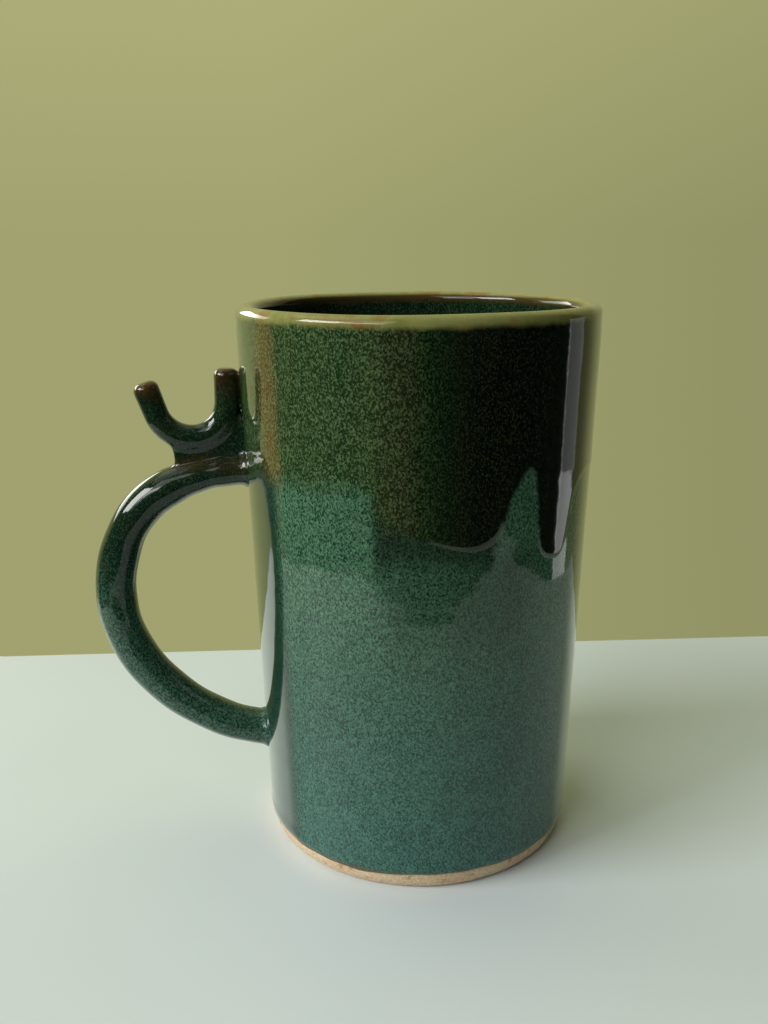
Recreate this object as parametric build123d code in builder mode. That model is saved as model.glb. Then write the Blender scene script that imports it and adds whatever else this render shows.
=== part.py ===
from build123d import *
import math
import os

# Tall cylindrical stoneware mug with a coil handle and a U-shaped cradle coil on the handle's shoulder.
# Frame: origin at the centre of the foot, +Z up, the handle on the -X side in the XZ plane.
# All lengths in millimetres.

os.makedirs("parts", exist_ok=True)

# ---------------------------------------------------------------- driving dimensions
overall_height = 130.0        # foot to the crown of the lip, glaze included
glaze = 0.40                  # thickness of a single glaze coat
over_glaze = 0.25             # extra thickness of the second, dark dip

foot_r = 35.2                 # radius of the flat the mug stands on
foot_rise = 4.2               # height of the rounded foot edge, and of the bare clay
base_outer_r = 37.5           # clay radius at the top of the foot edge
lip_outer_r = 41.3            # clay radius just under the lip
wall_t = 3.7                  # clay wall thickness at the lip
wall_t_base = 4.1             # clay wall thickness near the floor
floor_t = 6.0                 # thickness of the floor slab
cove_r = 4.0                  # inside corner between wall and floor

clay_height = overall_height - glaze
lip_r = wall_t / 2            # full round lip

# handle centreline: distance out from the mug's axis, height, thickness in the plane, width across
handle_stations = [
    (36.5, 91.7, 7.0, 8.9),
    (40.5, 91.7, 6.7, 8.7),
    (44.0, 91.6, 6.5, 8.5),
    (47.5, 91.2, 6.4, 8.4),
    (51.0, 90.5, 6.6, 8.5),
    (55.0, 89.4, 7.3, 8.8),
    (59.5, 87.5, 8.0, 9.2),
    (64.3, 84.1, 8.4, 9.5),
    (68.5, 78.9, 8.5, 9.6),
    (71.4, 72.2, 8.6, 9.7),
    (72.9, 65.0, 8.7, 9.8),
    (72.7, 57.4, 8.7, 9.8),
    (70.6, 49.7, 8.6, 9.7),
    (66.6, 42.4, 8.4, 9.6),
    (61.2, 36.1, 8.2, 9.5),
    (54.8, 30.9, 8.0, 9.4),
    (48.2, 27.2, 7.8, 9.3),
    (42.0, 25.1, 7.6, 9.2),
    (34.5, 23.5, 7.5, 9.2),
]

# U-shaped cradle coil: one arc and two straight arms
cradle_r = 2.5                # clay radius of the coil
cradle_bend_r = 8.4           # centreline radius of the bend
cradle_centre = (52.8, 108.0) # centre of the bend: out from the axis, height
cradle_inner_top = 115.3      # height of the cut end beside the wall
cradle_lean = 18.5            # degrees the outer arm leans away from the mug
cradle_outer_len = 7.4        # straight length of the outer arm
cradle_end_round = 1.5        # rounding of the cut ends

web_half = 2.1                # half thickness of the slip web that joins the cradle

# lower edge of the dark dip, as (across, height) seen from the front (-Y) and from the back (+Y)
dip_front = [(-46.0, 93.0), (-38.0, 94.2), (-30.0, 94.6), (-22.0, 94.2), (-14.5, 93.4), (-11.5, 89.5),
             (-7.0, 87.0), (-1.0, 84.6), (5.0, 83.0), (10.0, 83.2), (13.4, 86.0), (15.2, 91.5),
             (18.0, 97.2), (20.6, 97.0), (21.8, 88.0), (23.6, 79.4), (27.0, 78.2), (29.6, 80.5),
             (31.4, 90.0), (35.0, 94.5), (40.0, 93.5), (46.0, 92.0)]
dip_back = [(-46.0, 93.0), (-40.0, 92.4), (-33.0, 90.0), (-25.0, 85.5), (-16.0, 83.4), (-8.0, 86.0),
            (0.0, 91.0), (8.0, 93.5), (16.0, 92.0), (24.0, 87.0), (32.0, 85.5), (39.0, 89.5), (46.0, 92.0)]
dip_top = 126.2               # the second coat runs thin and stops here, just under the lip


def outer_r(z, extra=0.0):
    """Radius of the clay wall's outside at height z, plus a coat."""
    return base_outer_r + (lip_outer_r - base_outer_r) * (z - foot_rise) / (clay_height - lip_r - foot_rise) + extra


def inner_r(z):
    """Radius of the clay wall's inside at height z."""
    t = wall_t_base + (wall_t - wall_t_base) * (z - floor_t) / (clay_height - lip_r - floor_t)
    return outer_r(z) - t


z_lip = clay_height - lip_r   # where the round of the lip starts
r_out_lip, r_in_lip = outer_r(z_lip), inner_r(z_lip)
z_cove = floor_t + cove_r

# ---------------------------------------------------------------- floor disc, with the rounded bare foot
with BuildPart() as floor_disc:
    with BuildSketch(Plane.XZ):
        with BuildLine():
            Line((0, 0), (foot_r, 0))
            EllipticalCenterArc((foot_r, foot_rise), base_outer_r - foot_r, foot_rise, start_angle=270, arc_size=90)
            Polyline((base_outer_r, foot_rise), (outer_r(floor_t), floor_t), (0, floor_t), (0, 0))
        make_face()
    revolve(axis=Axis.Z)

# ---------------------------------------------------------------- wall, standing on the rim of the floor disc
with BuildPart() as cup_wall:
    with BuildSketch(Plane.XZ):
        with BuildLine():
            Line((outer_r(floor_t), floor_t), (r_out_lip, z_lip))
            ThreePointArc((r_out_lip, z_lip), ((r_out_lip + r_in_lip) / 2, clay_height), (r_in_lip, z_lip))
            Line((r_in_lip, z_lip), (inner_r(z_cove), z_cove))
            q = cove_r * (1 - math.sqrt(0.5))
            ThreePointArc((inner_r(z_cove), z_cove), (inner_r(z_cove) - q, floor_t + q), (inner_r(z_cove) - cove_r, floor_t))
            Line((inner_r(z_cove) - cove_r, floor_t), (outer_r(floor_t), floor_t))
        make_face()
    revolve(axis=Axis.Z)

# everything inside the wall's outside face, used to cut the roots of the handle and the cradle
with BuildPart() as clay_envelope:
    with BuildSketch(Plane.XZ):
        Polygon((0, -1), (outer_r(-1), -1), (outer_r(overall_height + 2), overall_height + 2), (0, overall_height + 2), align=None)
    revolve(axis=Axis.Z)


def tangent(i):
    a = handle_stations[max(i - 1, 0)]
    b = handle_stations[min(i + 1, len(handle_stations) - 1)]
    dx, dz = -(b[0] - a[0]), b[1] - a[1]
    n = math.hypot(dx, dz)
    return (dx / n, 0, dz / n)


def station_plane(i):
    s, z, _, _ = handle_stations[i]
    return Plane(origin=(-s, 0, z), x_dir=(0, 1, 0), z_dir=tangent(i))


# ---------------------------------------------------------------- handle coil, drawn through its stations
with BuildPart() as handle_coil:
    for i, (s, z, t, w) in enumerate(handle_stations):
        with BuildSketch(station_plane(i)):
            Ellipse(w / 2, t / 2)
    loft()
    add(clay_envelope.part, mode=Mode.SUBTRACT)

# ---------------------------------------------------------------- cradle coil
cx, cz = -cradle_centre[0], cradle_centre[1]
inner_x = cx + cradle_bend_r
lean = math.radians(cradle_lean)
end_arc = (cx - cradle_bend_r * math.cos(lean), cz - cradle_bend_r * math.sin(lean))
outer_end = (end_arc[0] - cradle_outer_len * math.sin(lean), end_arc[1] + cradle_outer_len * math.cos(lean))


def cradle_tube(radius):
    """The cradle coil's tube: the inner arm, the bend and the leaning outer arm."""
    with BuildPart(mode=Mode.PRIVATE) as tube:
        with BuildLine(Plane.XZ):
            Line((inner_x, cradle_inner_top), (inner_x, cz))
            ThreePointArc((inner_x, cz), (cx, cz - cradle_bend_r), end_arc)
            Line(end_arc, outer_end)
        with BuildSketch(Plane(origin=(inner_x, 0, cradle_inner_top), x_dir=(1, 0, 0), z_dir=(0, 0, -1))):
            Circle(radius)
        sweep()
        fillet([f for f in tube.faces().filter_by(GeomType.PLANE).edges()], cradle_end_round)
    return tube.part


with BuildPart() as cradle_coil:
    add(cradle_tube(cradle_r))
    add(clay_envelope.part, mode=Mode.SUBTRACT)
    add(handle_coil.part, mode=Mode.SUBTRACT)


# ---------------------------------------------------------------- slip joints at the two roots of the handle
def root_collar(i_in, i_out, grows, coat=0.0):
    """A flared collar of joining slip around the handle's root, from inside the wall out along the coil."""
    s0, z0, t0, w0 = handle_stations[i_in]
    s1, z1, t1, w1 = handle_stations[i_out]
    d = (-(s1 - s0), 0, z1 - z0)
    mid = ((s0 + s1) / 2, (z0 + z1) / 2, (t0 + t1) / 2, (w0 + w1) / 2)
    with BuildPart(mode=Mode.PRIVATE) as collar:
        for (s, z, t, w), g in zip(((s0, z0, t0, w0), mid, (s1, z1, t1, w1)), grows):
            with BuildSketch(Plane(origin=(-s, 0, z), x_dir=(0, 1, 0), z_dir=d)):
                Ellipse(w / 2 + g + coat, t / 2 + g + coat)
        loft(ruled=True)
    return collar.part


last = len(handle_stations) - 1
upper_root = (1, 2, (2.4, 1.1, 0.2))
lower_root = (last, last - 1, (2.9, 2.2, 0.2))

with BuildPart() as handle_joint_upper:
    add(root_collar(*upper_root))
    add(clay_envelope.part, mode=Mode.SUBTRACT)
    add(handle_coil.part, mode=Mode.SUBTRACT)

with BuildPart() as handle_joint_lower:
    add(root_collar(*lower_root))
    add(clay_envelope.part, mode=Mode.SUBTRACT)
    add(handle_coil.part, mode=Mode.SUBTRACT)

# ---------------------------------------------------------------- slip web under the cradle and beside its inner arm
web_outline = [(-57.6, 92.0), (-57.4, 95.8), (-58.6, 99.2), (-52.8, 101.0), (-47.0, 104.0), (-43.2, 106.0), (-43.0, 112.5),
               (-39.0, 112.5), (-39.0, 92.0), (-44.0, 91.0), (-52.0, 90.0)]


def web_plate(coat):
    """The web under the bend, with its outline and thickness grown by a coat."""
    with BuildPart(mode=Mode.PRIVATE) as plate:
        with BuildSketch(Plane.XZ):
            with BuildLine():
                Polyline(*web_outline, close=True)
            make_face()
            if coat:
                offset(amount=coat, kind=Kind.INTERSECTION)
        extrude(amount=web_half + coat, both=True)
        # hollow out the space inside the U
        with BuildSketch(Plane.XZ):
            with Locations((cx, cz)):
                Circle(cradle_bend_r)
        extrude(amount=20, both=True, mode=Mode.SUBTRACT)
    return plate.part


with BuildPart() as cradle_web:
    add(web_plate(0))
    add(clay_envelope.part, mode=Mode.SUBTRACT)
    add(handle_coil.part, mode=Mode.SUBTRACT)
    add(handle_joint_upper.part, mode=Mode.SUBTRACT)
    add(cradle_coil.part, mode=Mode.SUBTRACT)

# ---------------------------------------------------------------- glaze coats on the cup
r_out_g, r_in_g = outer_r(z_lip, glaze), r_in_lip - glaze
crown = (r_out_lip + r_in_lip) / 2

with BuildPart() as glaze_outer:
    with BuildSketch(Plane.XZ):
        with BuildLine():
            Line((outer_r(foot_rise), foot_rise), (r_out_lip, z_lip))
            CenterArc((crown, z_lip), lip_r, 0, 90)
            Line((crown, clay_height), (crown, clay_height + glaze))
            CenterArc((crown, z_lip), lip_r + glaze, 0, 90)
            Line((r_out_g, z_lip), (outer_r(foot_rise + 0.7, glaze), foot_rise + 0.7))
            ThreePointArc((outer_r(foot_rise + 0.7, glaze), foot_rise + 0.7), (outer_r(foot_rise + 0.2, glaze * 0.72), foot_rise + 0.2), (outer_r(foot_rise), foot_rise))
        make_face()
    revolve(axis=Axis.Z)
    for piece in (handle_coil, handle_joint_upper, handle_joint_lower, cradle_coil, cradle_web):
        add(piece.part, mode=Mode.SUBTRACT)

with BuildPart() as glaze_liner:
    with BuildSketch(Plane.XZ):
        with BuildLine():
            Line((crown, clay_height), (crown, clay_height + glaze))
            CenterArc((crown, z_lip), lip_r + glaze, 90, 90)
            Line((r_in_g, z_lip), (inner_r(z_cove) - glaze, z_cove))
            qg = (cove_r - glaze) * (1 - math.sqrt(0.5))
            ThreePointArc((inner_r(z_cove) - glaze, z_cove), (inner_r(z_cove) - glaze - qg, floor_t + glaze + qg), (inner_r(z_cove) - cove_r, floor_t + glaze))
            Polyline((inner_r(z_cove) - cove_r, floor_t + glaze), (0, floor_t + glaze), (0, floor_t), (inner_r(z_cove) - cove_r, floor_t))
            ThreePointArc((inner_r(z_cove) - cove_r, floor_t), (inner_r(z_cove) - q, floor_t + q), (inner_r(z_cove), z_cove))
            Line((inner_r(z_cove), z_cove), (r_in_lip, z_lip))
            CenterArc((crown, z_lip), lip_r, 90, 90)
        make_face()
    revolve(axis=Axis.Z)

# ---------------------------------------------------------------- glaze coat on the handle, its joints and the cradle
with BuildPart() as glaze_handle:
    for i, (s, z, t, w) in enumerate(handle_stations):
        with BuildSketch(station_plane(i)):
            Ellipse(w / 2 + glaze, t / 2 + glaze)
    loft()
    add(cradle_tube(cradle_r + glaze))
    add(root_collar(*upper_root, coat=glaze))
    add(root_collar(*lower_root, coat=glaze))
    add(web_plate(glaze))
    for piece in (handle_coil, handle_joint_upper, handle_joint_lower, cradle_coil, cradle_web):
        add(piece.part, mode=Mode.SUBTRACT)
    add(clay_envelope.part, mode=Mode.SUBTRACT)
    add(glaze_outer.part, mode=Mode.SUBTRACT)
    # the coat is one skin: crumbs left in the corner between the root and the wall are dropped
    add(glaze_handle.part.solids().sort_by(SortBy.VOLUME)[-1], mode=Mode.INTERSECT)

# ---------------------------------------------------------------- second, dark coat around the upper part of the cup
with BuildPart() as glaze_dip:
    with BuildSketch(Plane.XZ):
        Polygon((outer_r(60, glaze), 60), (outer_r(60, glaze + over_glaze), 60),
                (outer_r(dip_top - 0.8, glaze + over_glaze), dip_top - 0.8), (outer_r(dip_top, glaze), dip_top), align=None)
    revolve(axis=Axis.Z)
    # keep what lies above the scalloped edge: one outline for the front half, one for the back half
    with BuildSketch(Plane.XZ):
        with BuildLine():
            Spline(*dip_front)
            Polyline(dip_front[-1], (46, 40), (-46, 40), dip_front[0])
        make_face()
    extrude(amount=60, mode=Mode.SUBTRACT)
    with BuildSketch(Plane.XZ):
        with BuildLine():
            Spline(*dip_back)
            Polyline(dip_back[-1], (46, 40), (-46, 40), dip_back[0])
        make_face()
    extrude(amount=-60, mode=Mode.SUBTRACT)
    for piece in (handle_coil, handle_joint_upper, cradle_coil, cradle_web, glaze_handle):
        add(piece.part, mode=Mode.SUBTRACT)

pieces = {
    "floor_disc": floor_disc, "cup_wall": cup_wall, "handle_coil": handle_coil,
    "handle_joint_upper": handle_joint_upper, "handle_joint_lower": handle_joint_lower,
    "cradle_coil": cradle_coil, "cradle_web": cradle_web,
    "glaze_outer": glaze_outer, "glaze_liner": glaze_liner, "glaze_handle": glaze_handle, "glaze_dip": glaze_dip,
}
for label, piece in pieces.items():
    piece.part.label = label
    export_step(piece.part, f"parts/{label}.step")
    print(label, len(piece.part.solids()), round(piece.part.volume, 2), piece.part.is_valid)
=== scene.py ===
import math

import bpy
import numpy as np
from mathutils import Matrix, Vector


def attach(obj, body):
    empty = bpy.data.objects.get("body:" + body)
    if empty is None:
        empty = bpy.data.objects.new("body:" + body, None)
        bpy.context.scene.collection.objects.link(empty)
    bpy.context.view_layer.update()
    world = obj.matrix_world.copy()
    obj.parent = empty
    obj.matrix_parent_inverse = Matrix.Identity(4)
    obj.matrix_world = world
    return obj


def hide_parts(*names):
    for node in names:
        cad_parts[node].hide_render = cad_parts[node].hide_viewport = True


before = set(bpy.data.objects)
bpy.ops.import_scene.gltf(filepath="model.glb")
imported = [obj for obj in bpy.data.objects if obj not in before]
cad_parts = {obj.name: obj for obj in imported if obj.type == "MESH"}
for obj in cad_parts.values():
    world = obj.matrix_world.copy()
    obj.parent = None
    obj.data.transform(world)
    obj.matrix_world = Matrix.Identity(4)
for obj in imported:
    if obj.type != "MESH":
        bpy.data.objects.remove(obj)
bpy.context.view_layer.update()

MM = 0.001
rng = np.random.default_rng(7)

# ======================================================================================================
# 1. Dimensions of the mug, in millimetres, in the frame's own axes: foot at the origin, handle on -X
# ======================================================================================================
H = 130.0
GLAZE, OVER = 0.40, 0.25
OVER_SEEN = 0.12        # the second coat feathers out, so its visible step is lower than its full thickness
FOOT_R, FOOT_RISE = 35.2, 4.2
BASE_R, LIP_R_OUT = 37.5, 41.3
WALL_T, WALL_T_BASE = 3.7, 4.1
FLOOR_T, COVE_R = 6.0, 4.0
CLAY_H = H - GLAZE
LIP = WALL_T / 2
Z_LIP = CLAY_H - LIP
DIP_TOP = 126.2

HANDLE = np.array([
    (36.5, 91.7, 7.0, 8.9), (40.5, 91.7, 6.7, 8.7), (44.0, 91.6, 6.5, 8.5), (47.5, 91.2, 6.4, 8.4),
    (51.0, 90.5, 6.6, 8.5), (55.0, 89.4, 7.3, 8.8), (59.5, 87.5, 8.0, 9.2), (64.3, 84.1, 8.4, 9.5),
    (68.5, 78.9, 8.5, 9.6), (71.4, 72.2, 8.6, 9.7), (72.9, 65.0, 8.7, 9.8), (72.7, 57.4, 8.7, 9.8),
    (70.6, 49.7, 8.6, 9.7), (66.6, 42.4, 8.4, 9.6), (61.2, 36.1, 8.2, 9.5), (54.8, 30.9, 8.0, 9.4),
    (48.2, 27.2, 7.8, 9.3), (42.0, 25.1, 7.6, 9.2), (34.5, 23.5, 7.5, 9.2)])
CRADLE_R, BEND_R, BEND_C = 2.5, 8.4, (52.8, 108.0)
INNER_TOP, LEAN, OUTER_LEN = 115.3, math.radians(18.5), 7.4

# lower edge of the dark coat, across and up, seen from the front and from the back
DIP_FRONT = [(-46.0, 93.0), (-38.0, 94.2), (-29.0, 94.2), (-21.0, 95.0), (-16.0, 94.8), (-14.2, 92.2),
             (-13.0, 88.6), (-10.6, 86.9), (-6.8, 85.8), (-2.0, 84.2), (3.0, 82.8), (7.2, 82.6),
             (10.9, 84.4), (13.0, 88.0), (14.4, 92.8), (17.0, 97.2), (18.8, 98.2), (20.0, 95.2),
             (20.9, 87.6), (21.9, 80.6), (23.7, 78.2), (26.0, 77.5), (28.0, 78.4), (29.2, 83.0),
             (30.6, 90.0), (34.0, 94.2), (40.0, 93.5), (46.0, 92.0)]
DIP_BACK = [(-46.0, 93.0), (-40.0, 92.4), (-33.0, 90.0), (-25.0, 85.5), (-16.0, 83.4), (-8.0, 86.0),
            (0.0, 91.0), (8.0, 93.5), (16.0, 92.0), (24.0, 87.0), (32.0, 85.5), (39.0, 89.5), (46.0, 92.0)]


def outer_clay(z):
    return BASE_R + (LIP_R_OUT - BASE_R) * (z - FOOT_RISE) / (Z_LIP - FOOT_RISE)


def inner_clay(z):
    return outer_clay(z) - (WALL_T_BASE + (WALL_T - WALL_T_BASE) * (z - FLOOR_T) / (Z_LIP - FLOOR_T))


CROWN = (outer_clay(Z_LIP) + inner_clay(Z_LIP)) / 2


def smooth(a, b, v):
    t = np.clip((v - a) / (b - a), 0, 1)
    return t * t * (3 - 2 * t)


# ---- low, smooth waviness of hand work: a few fixed sine waves round and up the cup ------------------
WAVES = [(2, 0.021, 0.6, 0.055), (3, 0.047, 2.1, 0.045), (5, 0.09, 4.0, 0.03), (1, 0.13, 1.2, 0.03), (7, 0.06, 5.1, 0.016), (0, 0.30, 0.4, 0.018), (0, 0.52, 2.7, 0.012)]


def waviness(th, z):
    w = 0
    for k, fz, ph, amp in WAVES:
        w = w + 0.5 * amp * np.sin(k * th + fz * z * 2.0 + ph)
    return w


# ---- the lower edge of the dark coat, unrolled: arc length round the cup against height ----------------
def natural_spline(points, per):
    """Smooth curve through points: a natural cubic spline, sampled per times between neighbours."""
    p = np.asarray(points, float)
    n = len(p)
    a = np.zeros((n, n)); b = np.zeros_like(p)
    a[0, 0] = a[-1, -1] = 1
    for i in range(1, n - 1):
        a[i, i - 1:i + 2] = (1, 4, 1)
        b[i] = 6 * (p[i + 1] - 2 * p[i] + p[i - 1])
    m = np.linalg.solve(a, b)
    out = []
    for i in range(n - 1):
        t = (np.arange(per) / per)[:, None]
        out.append((1 - t) * p[i] + t * p[i + 1] + ((1 - t) ** 3 - (1 - t)) * m[i] / 6 + (t ** 3 - t) * m[i + 1] / 6)
    return np.vstack(out + [p[-1:]])


R_DIP = outer_clay(90.0) + GLAZE + 0.2


def dip_curve():
    """Points (azimuth, height) of the edge, azimuth from -pi to pi, 0 at the front and -pi/2 at the handle."""
    f = natural_spline(DIP_FRONT, 12)
    f = f[np.abs(f[:, 0]) < R_DIP]
    az = np.arcsin(f[:, 0] / R_DIP)
    b = natural_spline(DIP_BACK, 12)
    b = b[np.abs(b[:, 0]) < R_DIP]
    az_b = np.pi - np.arcsin(b[:, 0] / R_DIP)
    az_b = (az_b + np.pi) % (2 * np.pi) - np.pi
    az = np.maximum.accumulate(az)
    allp = np.vstack([np.column_stack([az, f[:, 1]]), np.column_stack([az_b, b[:, 1]])])
    return allp[np.argsort(allp[:, 0], kind="stable")]


DIP = dip_curve()


def dip_distance(az, z):
    """Signed distance in mm from the edge of the dark coat, positive inside it."""
    zb = np.interp(az, DIP[:, 0], DIP[:, 1], period=2 * np.pi)
    sign = np.where(z > zb, 1.0, -1.0)
    c = np.vstack([DIP - (2 * np.pi, 0), DIP, DIP + (2 * np.pi, 0)])
    c = c[(c[:, 0] > -np.pi - 0.4) & (c[:, 0] < np.pi + 0.4)]
    a, b = c[:-1] * (R_DIP, 1), c[1:] * (R_DIP, 1)
    p = np.column_stack([az.ravel() * R_DIP, z.ravel()])
    best = np.full(len(p), 1e9)
    near = np.abs(p[:, 1] - 88) < 24
    q = p[near]
    bq = np.full(len(q), 1e9)
    for i in range(len(a)):
        d = b[i] - a[i]
        t = np.clip(((q - a[i]) @ d) / max(d @ d, 1e-12), 0, 1)
        e = q - a[i] - t[:, None] * d
        bq = np.minimum(bq, (e * e).sum(1))
    best[near] = np.sqrt(bq)
    best[~near] = np.minimum(np.abs(p[~near, 1] - 88), 60)
    return best.reshape(az.shape) * sign


def outer_glazed(az, z, dip):
    """Radius of the glazed outside: clay, first coat, second coat and waviness."""
    soft = 1 - smooth(-0.22, -0.05, az) * (1 - smooth(2.2, 2.6, az))          # the edge melts in on the handle's side
    half = 0.45 + 5.0 * soft
    second = smooth(-1, 1, dip / half) * (1 - smooth(DIP_TOP - 3.5, DIP_TOP, z)) * OVER_SEEN
    second = second + 0.015 * (1 - soft) * np.exp(-((dip - 0.9) / 0.9) ** 2) * (z < 110)
    first = GLAZE * smooth(FOOT_RISE - 0.1, FOOT_RISE + 0.9, z) + 0.10 * np.exp(-((z - 6.0) / 1.3) ** 2)
    fade = smooth(4, 14, z) * (1 - smooth(117, 127, z))
    return outer_clay(z) + first + second + waviness(az, z) * fade


# ======================================================================================================
# 2. Mesh helpers
# ======================================================================================================
def make_mesh(name, verts, faces, smooth_shade=True):
    me = bpy.data.meshes.new(name)
    v = np.ascontiguousarray(verts, np.float32) * np.float32(MM)
    f = np.ascontiguousarray(faces, np.int32)
    me.vertices.add(len(v)); me.vertices.foreach_set("co", v.ravel())
    k = f.shape[1]
    me.loops.add(f.size); me.loops.foreach_set("vertex_index", f.ravel())
    me.polygons.add(len(f))
    me.polygons.foreach_set("loop_start", np.arange(0, f.size, k, dtype=np.int32))
    me.polygons.foreach_set("use_smooth", np.full(len(f), smooth_shade))
    me.update(calc_edges=True); me.validate()
    ob = bpy.data.objects.new(name, me)
    bpy.context.scene.collection.objects.link(ob)
    return ob


def float_attribute(ob, name, values):
    a = ob.data.attributes.new(name, "FLOAT", "POINT")
    a.data.foreach_set("value", np.ascontiguousarray(values, np.float32).ravel())


def lathe_faces(rows, cols, wrap_rows):
    i = np.arange(rows if wrap_rows else rows - 1)[:, None]
    j = np.arange(cols)[None, :]
    i2, j2 = (i + 1) % rows, (j + 1) % cols
    f = np.stack([i * cols + j, i * cols + j2, i2 * cols + j2, i2 * cols + j], -1)
    return f.reshape(-1, 4)


def lathe_with_poles(name, rings, z_start, z_end):
    """Closed mesh from rings (rows, cols, 3) with a pole at each end, joined to the end rings by fans of triangles.
    """
    rows, cols, _ = rings.shape
    v = np.vstack([rings.reshape(-1, 3), [(0, 0, z_start), (0, 0, z_end)]])
    quads = lathe_faces(rows, cols, False)
    j = np.arange(cols); j2 = (j + 1) % cols
    a, b = rows * cols, rows * cols + 1
    t1 = np.column_stack([np.full(cols, a), j2, j])
    t2 = np.column_stack([np.full(cols, b), (rows - 1) * cols + j, (rows - 1) * cols + j2])
    me = bpy.data.meshes.new(name)
    co = (v * MM).astype(np.float32)
    me.from_pydata(co.tolist(), [], quads.tolist() + t1.tolist() + t2.tolist())
    me.polygons.foreach_set("use_smooth", np.full(len(me.polygons), True))
    me.update(); me.validate()
    ob = bpy.data.objects.new(name, me)
    bpy.context.scene.collection.objects.link(ob)
    return ob


# ======================================================================================================
# 3. The cup: outside with its two coats, the liner, and the bare foot
# ======================================================================================================
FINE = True
COLS = 640 if FINE else 360
AZ = np.linspace(-np.pi, np.pi, COLS, endpoint=False)


def ring(radius, z):
    """One ring at azimuths AZ (0 at -Y, growing towards +X)."""
    r = np.broadcast_to(radius, AZ.shape); zz = np.broadcast_to(z, AZ.shape)
    return np.stack([r * np.sin(AZ), -r * np.cos(AZ), zz], -1)


def foot_line(az):
    """Height where the glaze stops: wiped by hand, so it wanders a little."""
    return FOOT_RISE + 0.22 * np.sin(3 * az + 0.7) + 0.14 * np.sin(7 * az + 2.0) + 0.09 * np.sin(13 * az + 4.4) + 0.06 * np.sin(29 * az)


def foot_profile(z):
    """Radius of the rounded foot edge at height z."""
    t = np.clip(z / FOOT_RISE, 0, 1)
    r = FOOT_R + (BASE_R - FOOT_R) * np.sqrt(np.clip(1 - (1 - t) ** 2, 0, 1))
    return np.where(z > FOOT_RISE, outer_clay(z), r)


n_wall = 250 if FINE else 130
z_rows = np.concatenate([np.linspace(0.0, 3.0, 12)[:-1], np.linspace(3.0, Z_LIP - 5.2, n_wall)])   # heights above the glaze line
rings, dips = [], []
line = foot_line(AZ)
# the glaze edge rolls over onto the clay
for k, (dr, dz) in enumerate([(-0.06, 0.0), (0.10, -0.06), (0.22, 0.02), (0.32, 0.18)]):
    z = line + dz
    rings.append(ring(foot_profile(z) + dr, z)); dips.append(np.full(COLS, -60.0))
for zr in z_rows[1:]:
    z = line + zr + 0.3 if zr < 3 else (line + 0.3) * (1 - smooth(3, 30, zr)) + (FOOT_RISE + 0.3) * smooth(3, 30, zr) + zr
    d = dip_distance(AZ, z)
    r = outer_glazed(AZ, z, d)
    rings.append(ring(r, z)); dips.append(d)
z_top = rings[-1][0, 2]
for zr in np.linspace(z_top, Z_LIP, 7)[1:]:
    d = dip_distance(AZ, np.full(COLS, zr)); rings.append(ring(outer_glazed(AZ, np.full(COLS, zr), d), zr)); dips.append(d)
n_lip = 18
lip_wave = 0.10 * np.sin(2 * AZ + 1.0) + 0.06 * np.sin(5 * AZ + 0.3) - 0.16      # the rim is not quite level
for a in np.linspace(0, math.pi / 2, n_lip)[1:]:
    rr, zz = CROWN + (LIP + GLAZE) * math.cos(a), Z_LIP + (LIP + GLAZE) * math.sin(a) + lip_wave * math.sin(a) ** 2
    rings.append(ring(rr, zz)); dips.append(np.full(COLS, 40.0))
n_show = len(rings)
# hidden closing side, down the middle of the wall
for z in np.linspace(Z_LIP, 12, 12):
    rings.append(ring((outer_clay(z) + inner_clay(z)) / 2, z)); dips.append(np.zeros(COLS))
rings.append(ring(BASE_R - 1.6, 5.4)); dips.append(np.zeros(COLS))
rings = np.array(rings)
cup_outer = make_mesh("cup_outer_glaze", rings.reshape(-1, 3), lathe_faces(len(rings), COLS, True))
float_attribute(cup_outer, "dip_mm", np.array(dips))
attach(cup_outer, "root")
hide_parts("glaze_outer", "glaze_dip", "cup_wall")

# liner: crown, down the inside with throwing rings, cove and floor; closed behind by the middle of the wall
COLS_IN = COLS
prof = []
for a in np.linspace(math.pi / 2, math.pi, n_lip):
    prof.append((CROWN + (LIP + GLAZE) * math.cos(a), Z_LIP + (LIP + GLAZE) * math.sin(a), math.sin(a) ** 2))
for z in np.linspace(Z_LIP, FLOOR_T + COVE_R, 170 if FINE else 90)[1:]:
    prof.append((inner_clay(z) - GLAZE, z, 0))
rc = inner_clay(FLOOR_T + COVE_R) - COVE_R
for a in np.linspace(0, math.pi / 2, 12)[1:]:
    c = COVE_R - GLAZE
    prof.append((rc + c * math.cos(a), FLOOR_T + COVE_R - c * math.sin(a), 0))
for r in np.linspace(rc, 0.6, 46)[1:]:
    prof.append((r, FLOOR_T + GLAZE, 0))
rings_in = []
for r, z, lipw in prof:
    k = smooth(9, 16, z) * (1 - smooth(112, 126, z))
    spiral = 0.10 * np.sin(2 * np.pi * z / 6.3 + AZ) * k
    if z < FLOOR_T + GLAZE + 0.01:
        spiral = 0 * AZ
        dz = 0.07 * np.sin(2 * np.pi * r / 5.2 + AZ) * smooth(1, 5, r) * (1 - smooth(rc - 5, rc, r)) + 0.20 * np.exp(-(r / 4.5) ** 2)
    else:
        dz = 0
    rings_in.append(ring(r + spiral + 0.05 * np.sin(3 * AZ + z * 0.05) * k, z + dz + lip_wave * lipw))
rings_in = np.array(rings_in)
hid = []
for r in np.linspace(0.6, BASE_R - 5.0, 5):
    hid.append(ring(r, FLOOR_T - 0.2))
for z in np.linspace(12, Z_LIP, 8):
    hid.append(ring((outer_clay(z) + inner_clay(z)) / 2, z))
allr = np.vstack([rings_in, np.array(hid)])
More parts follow.
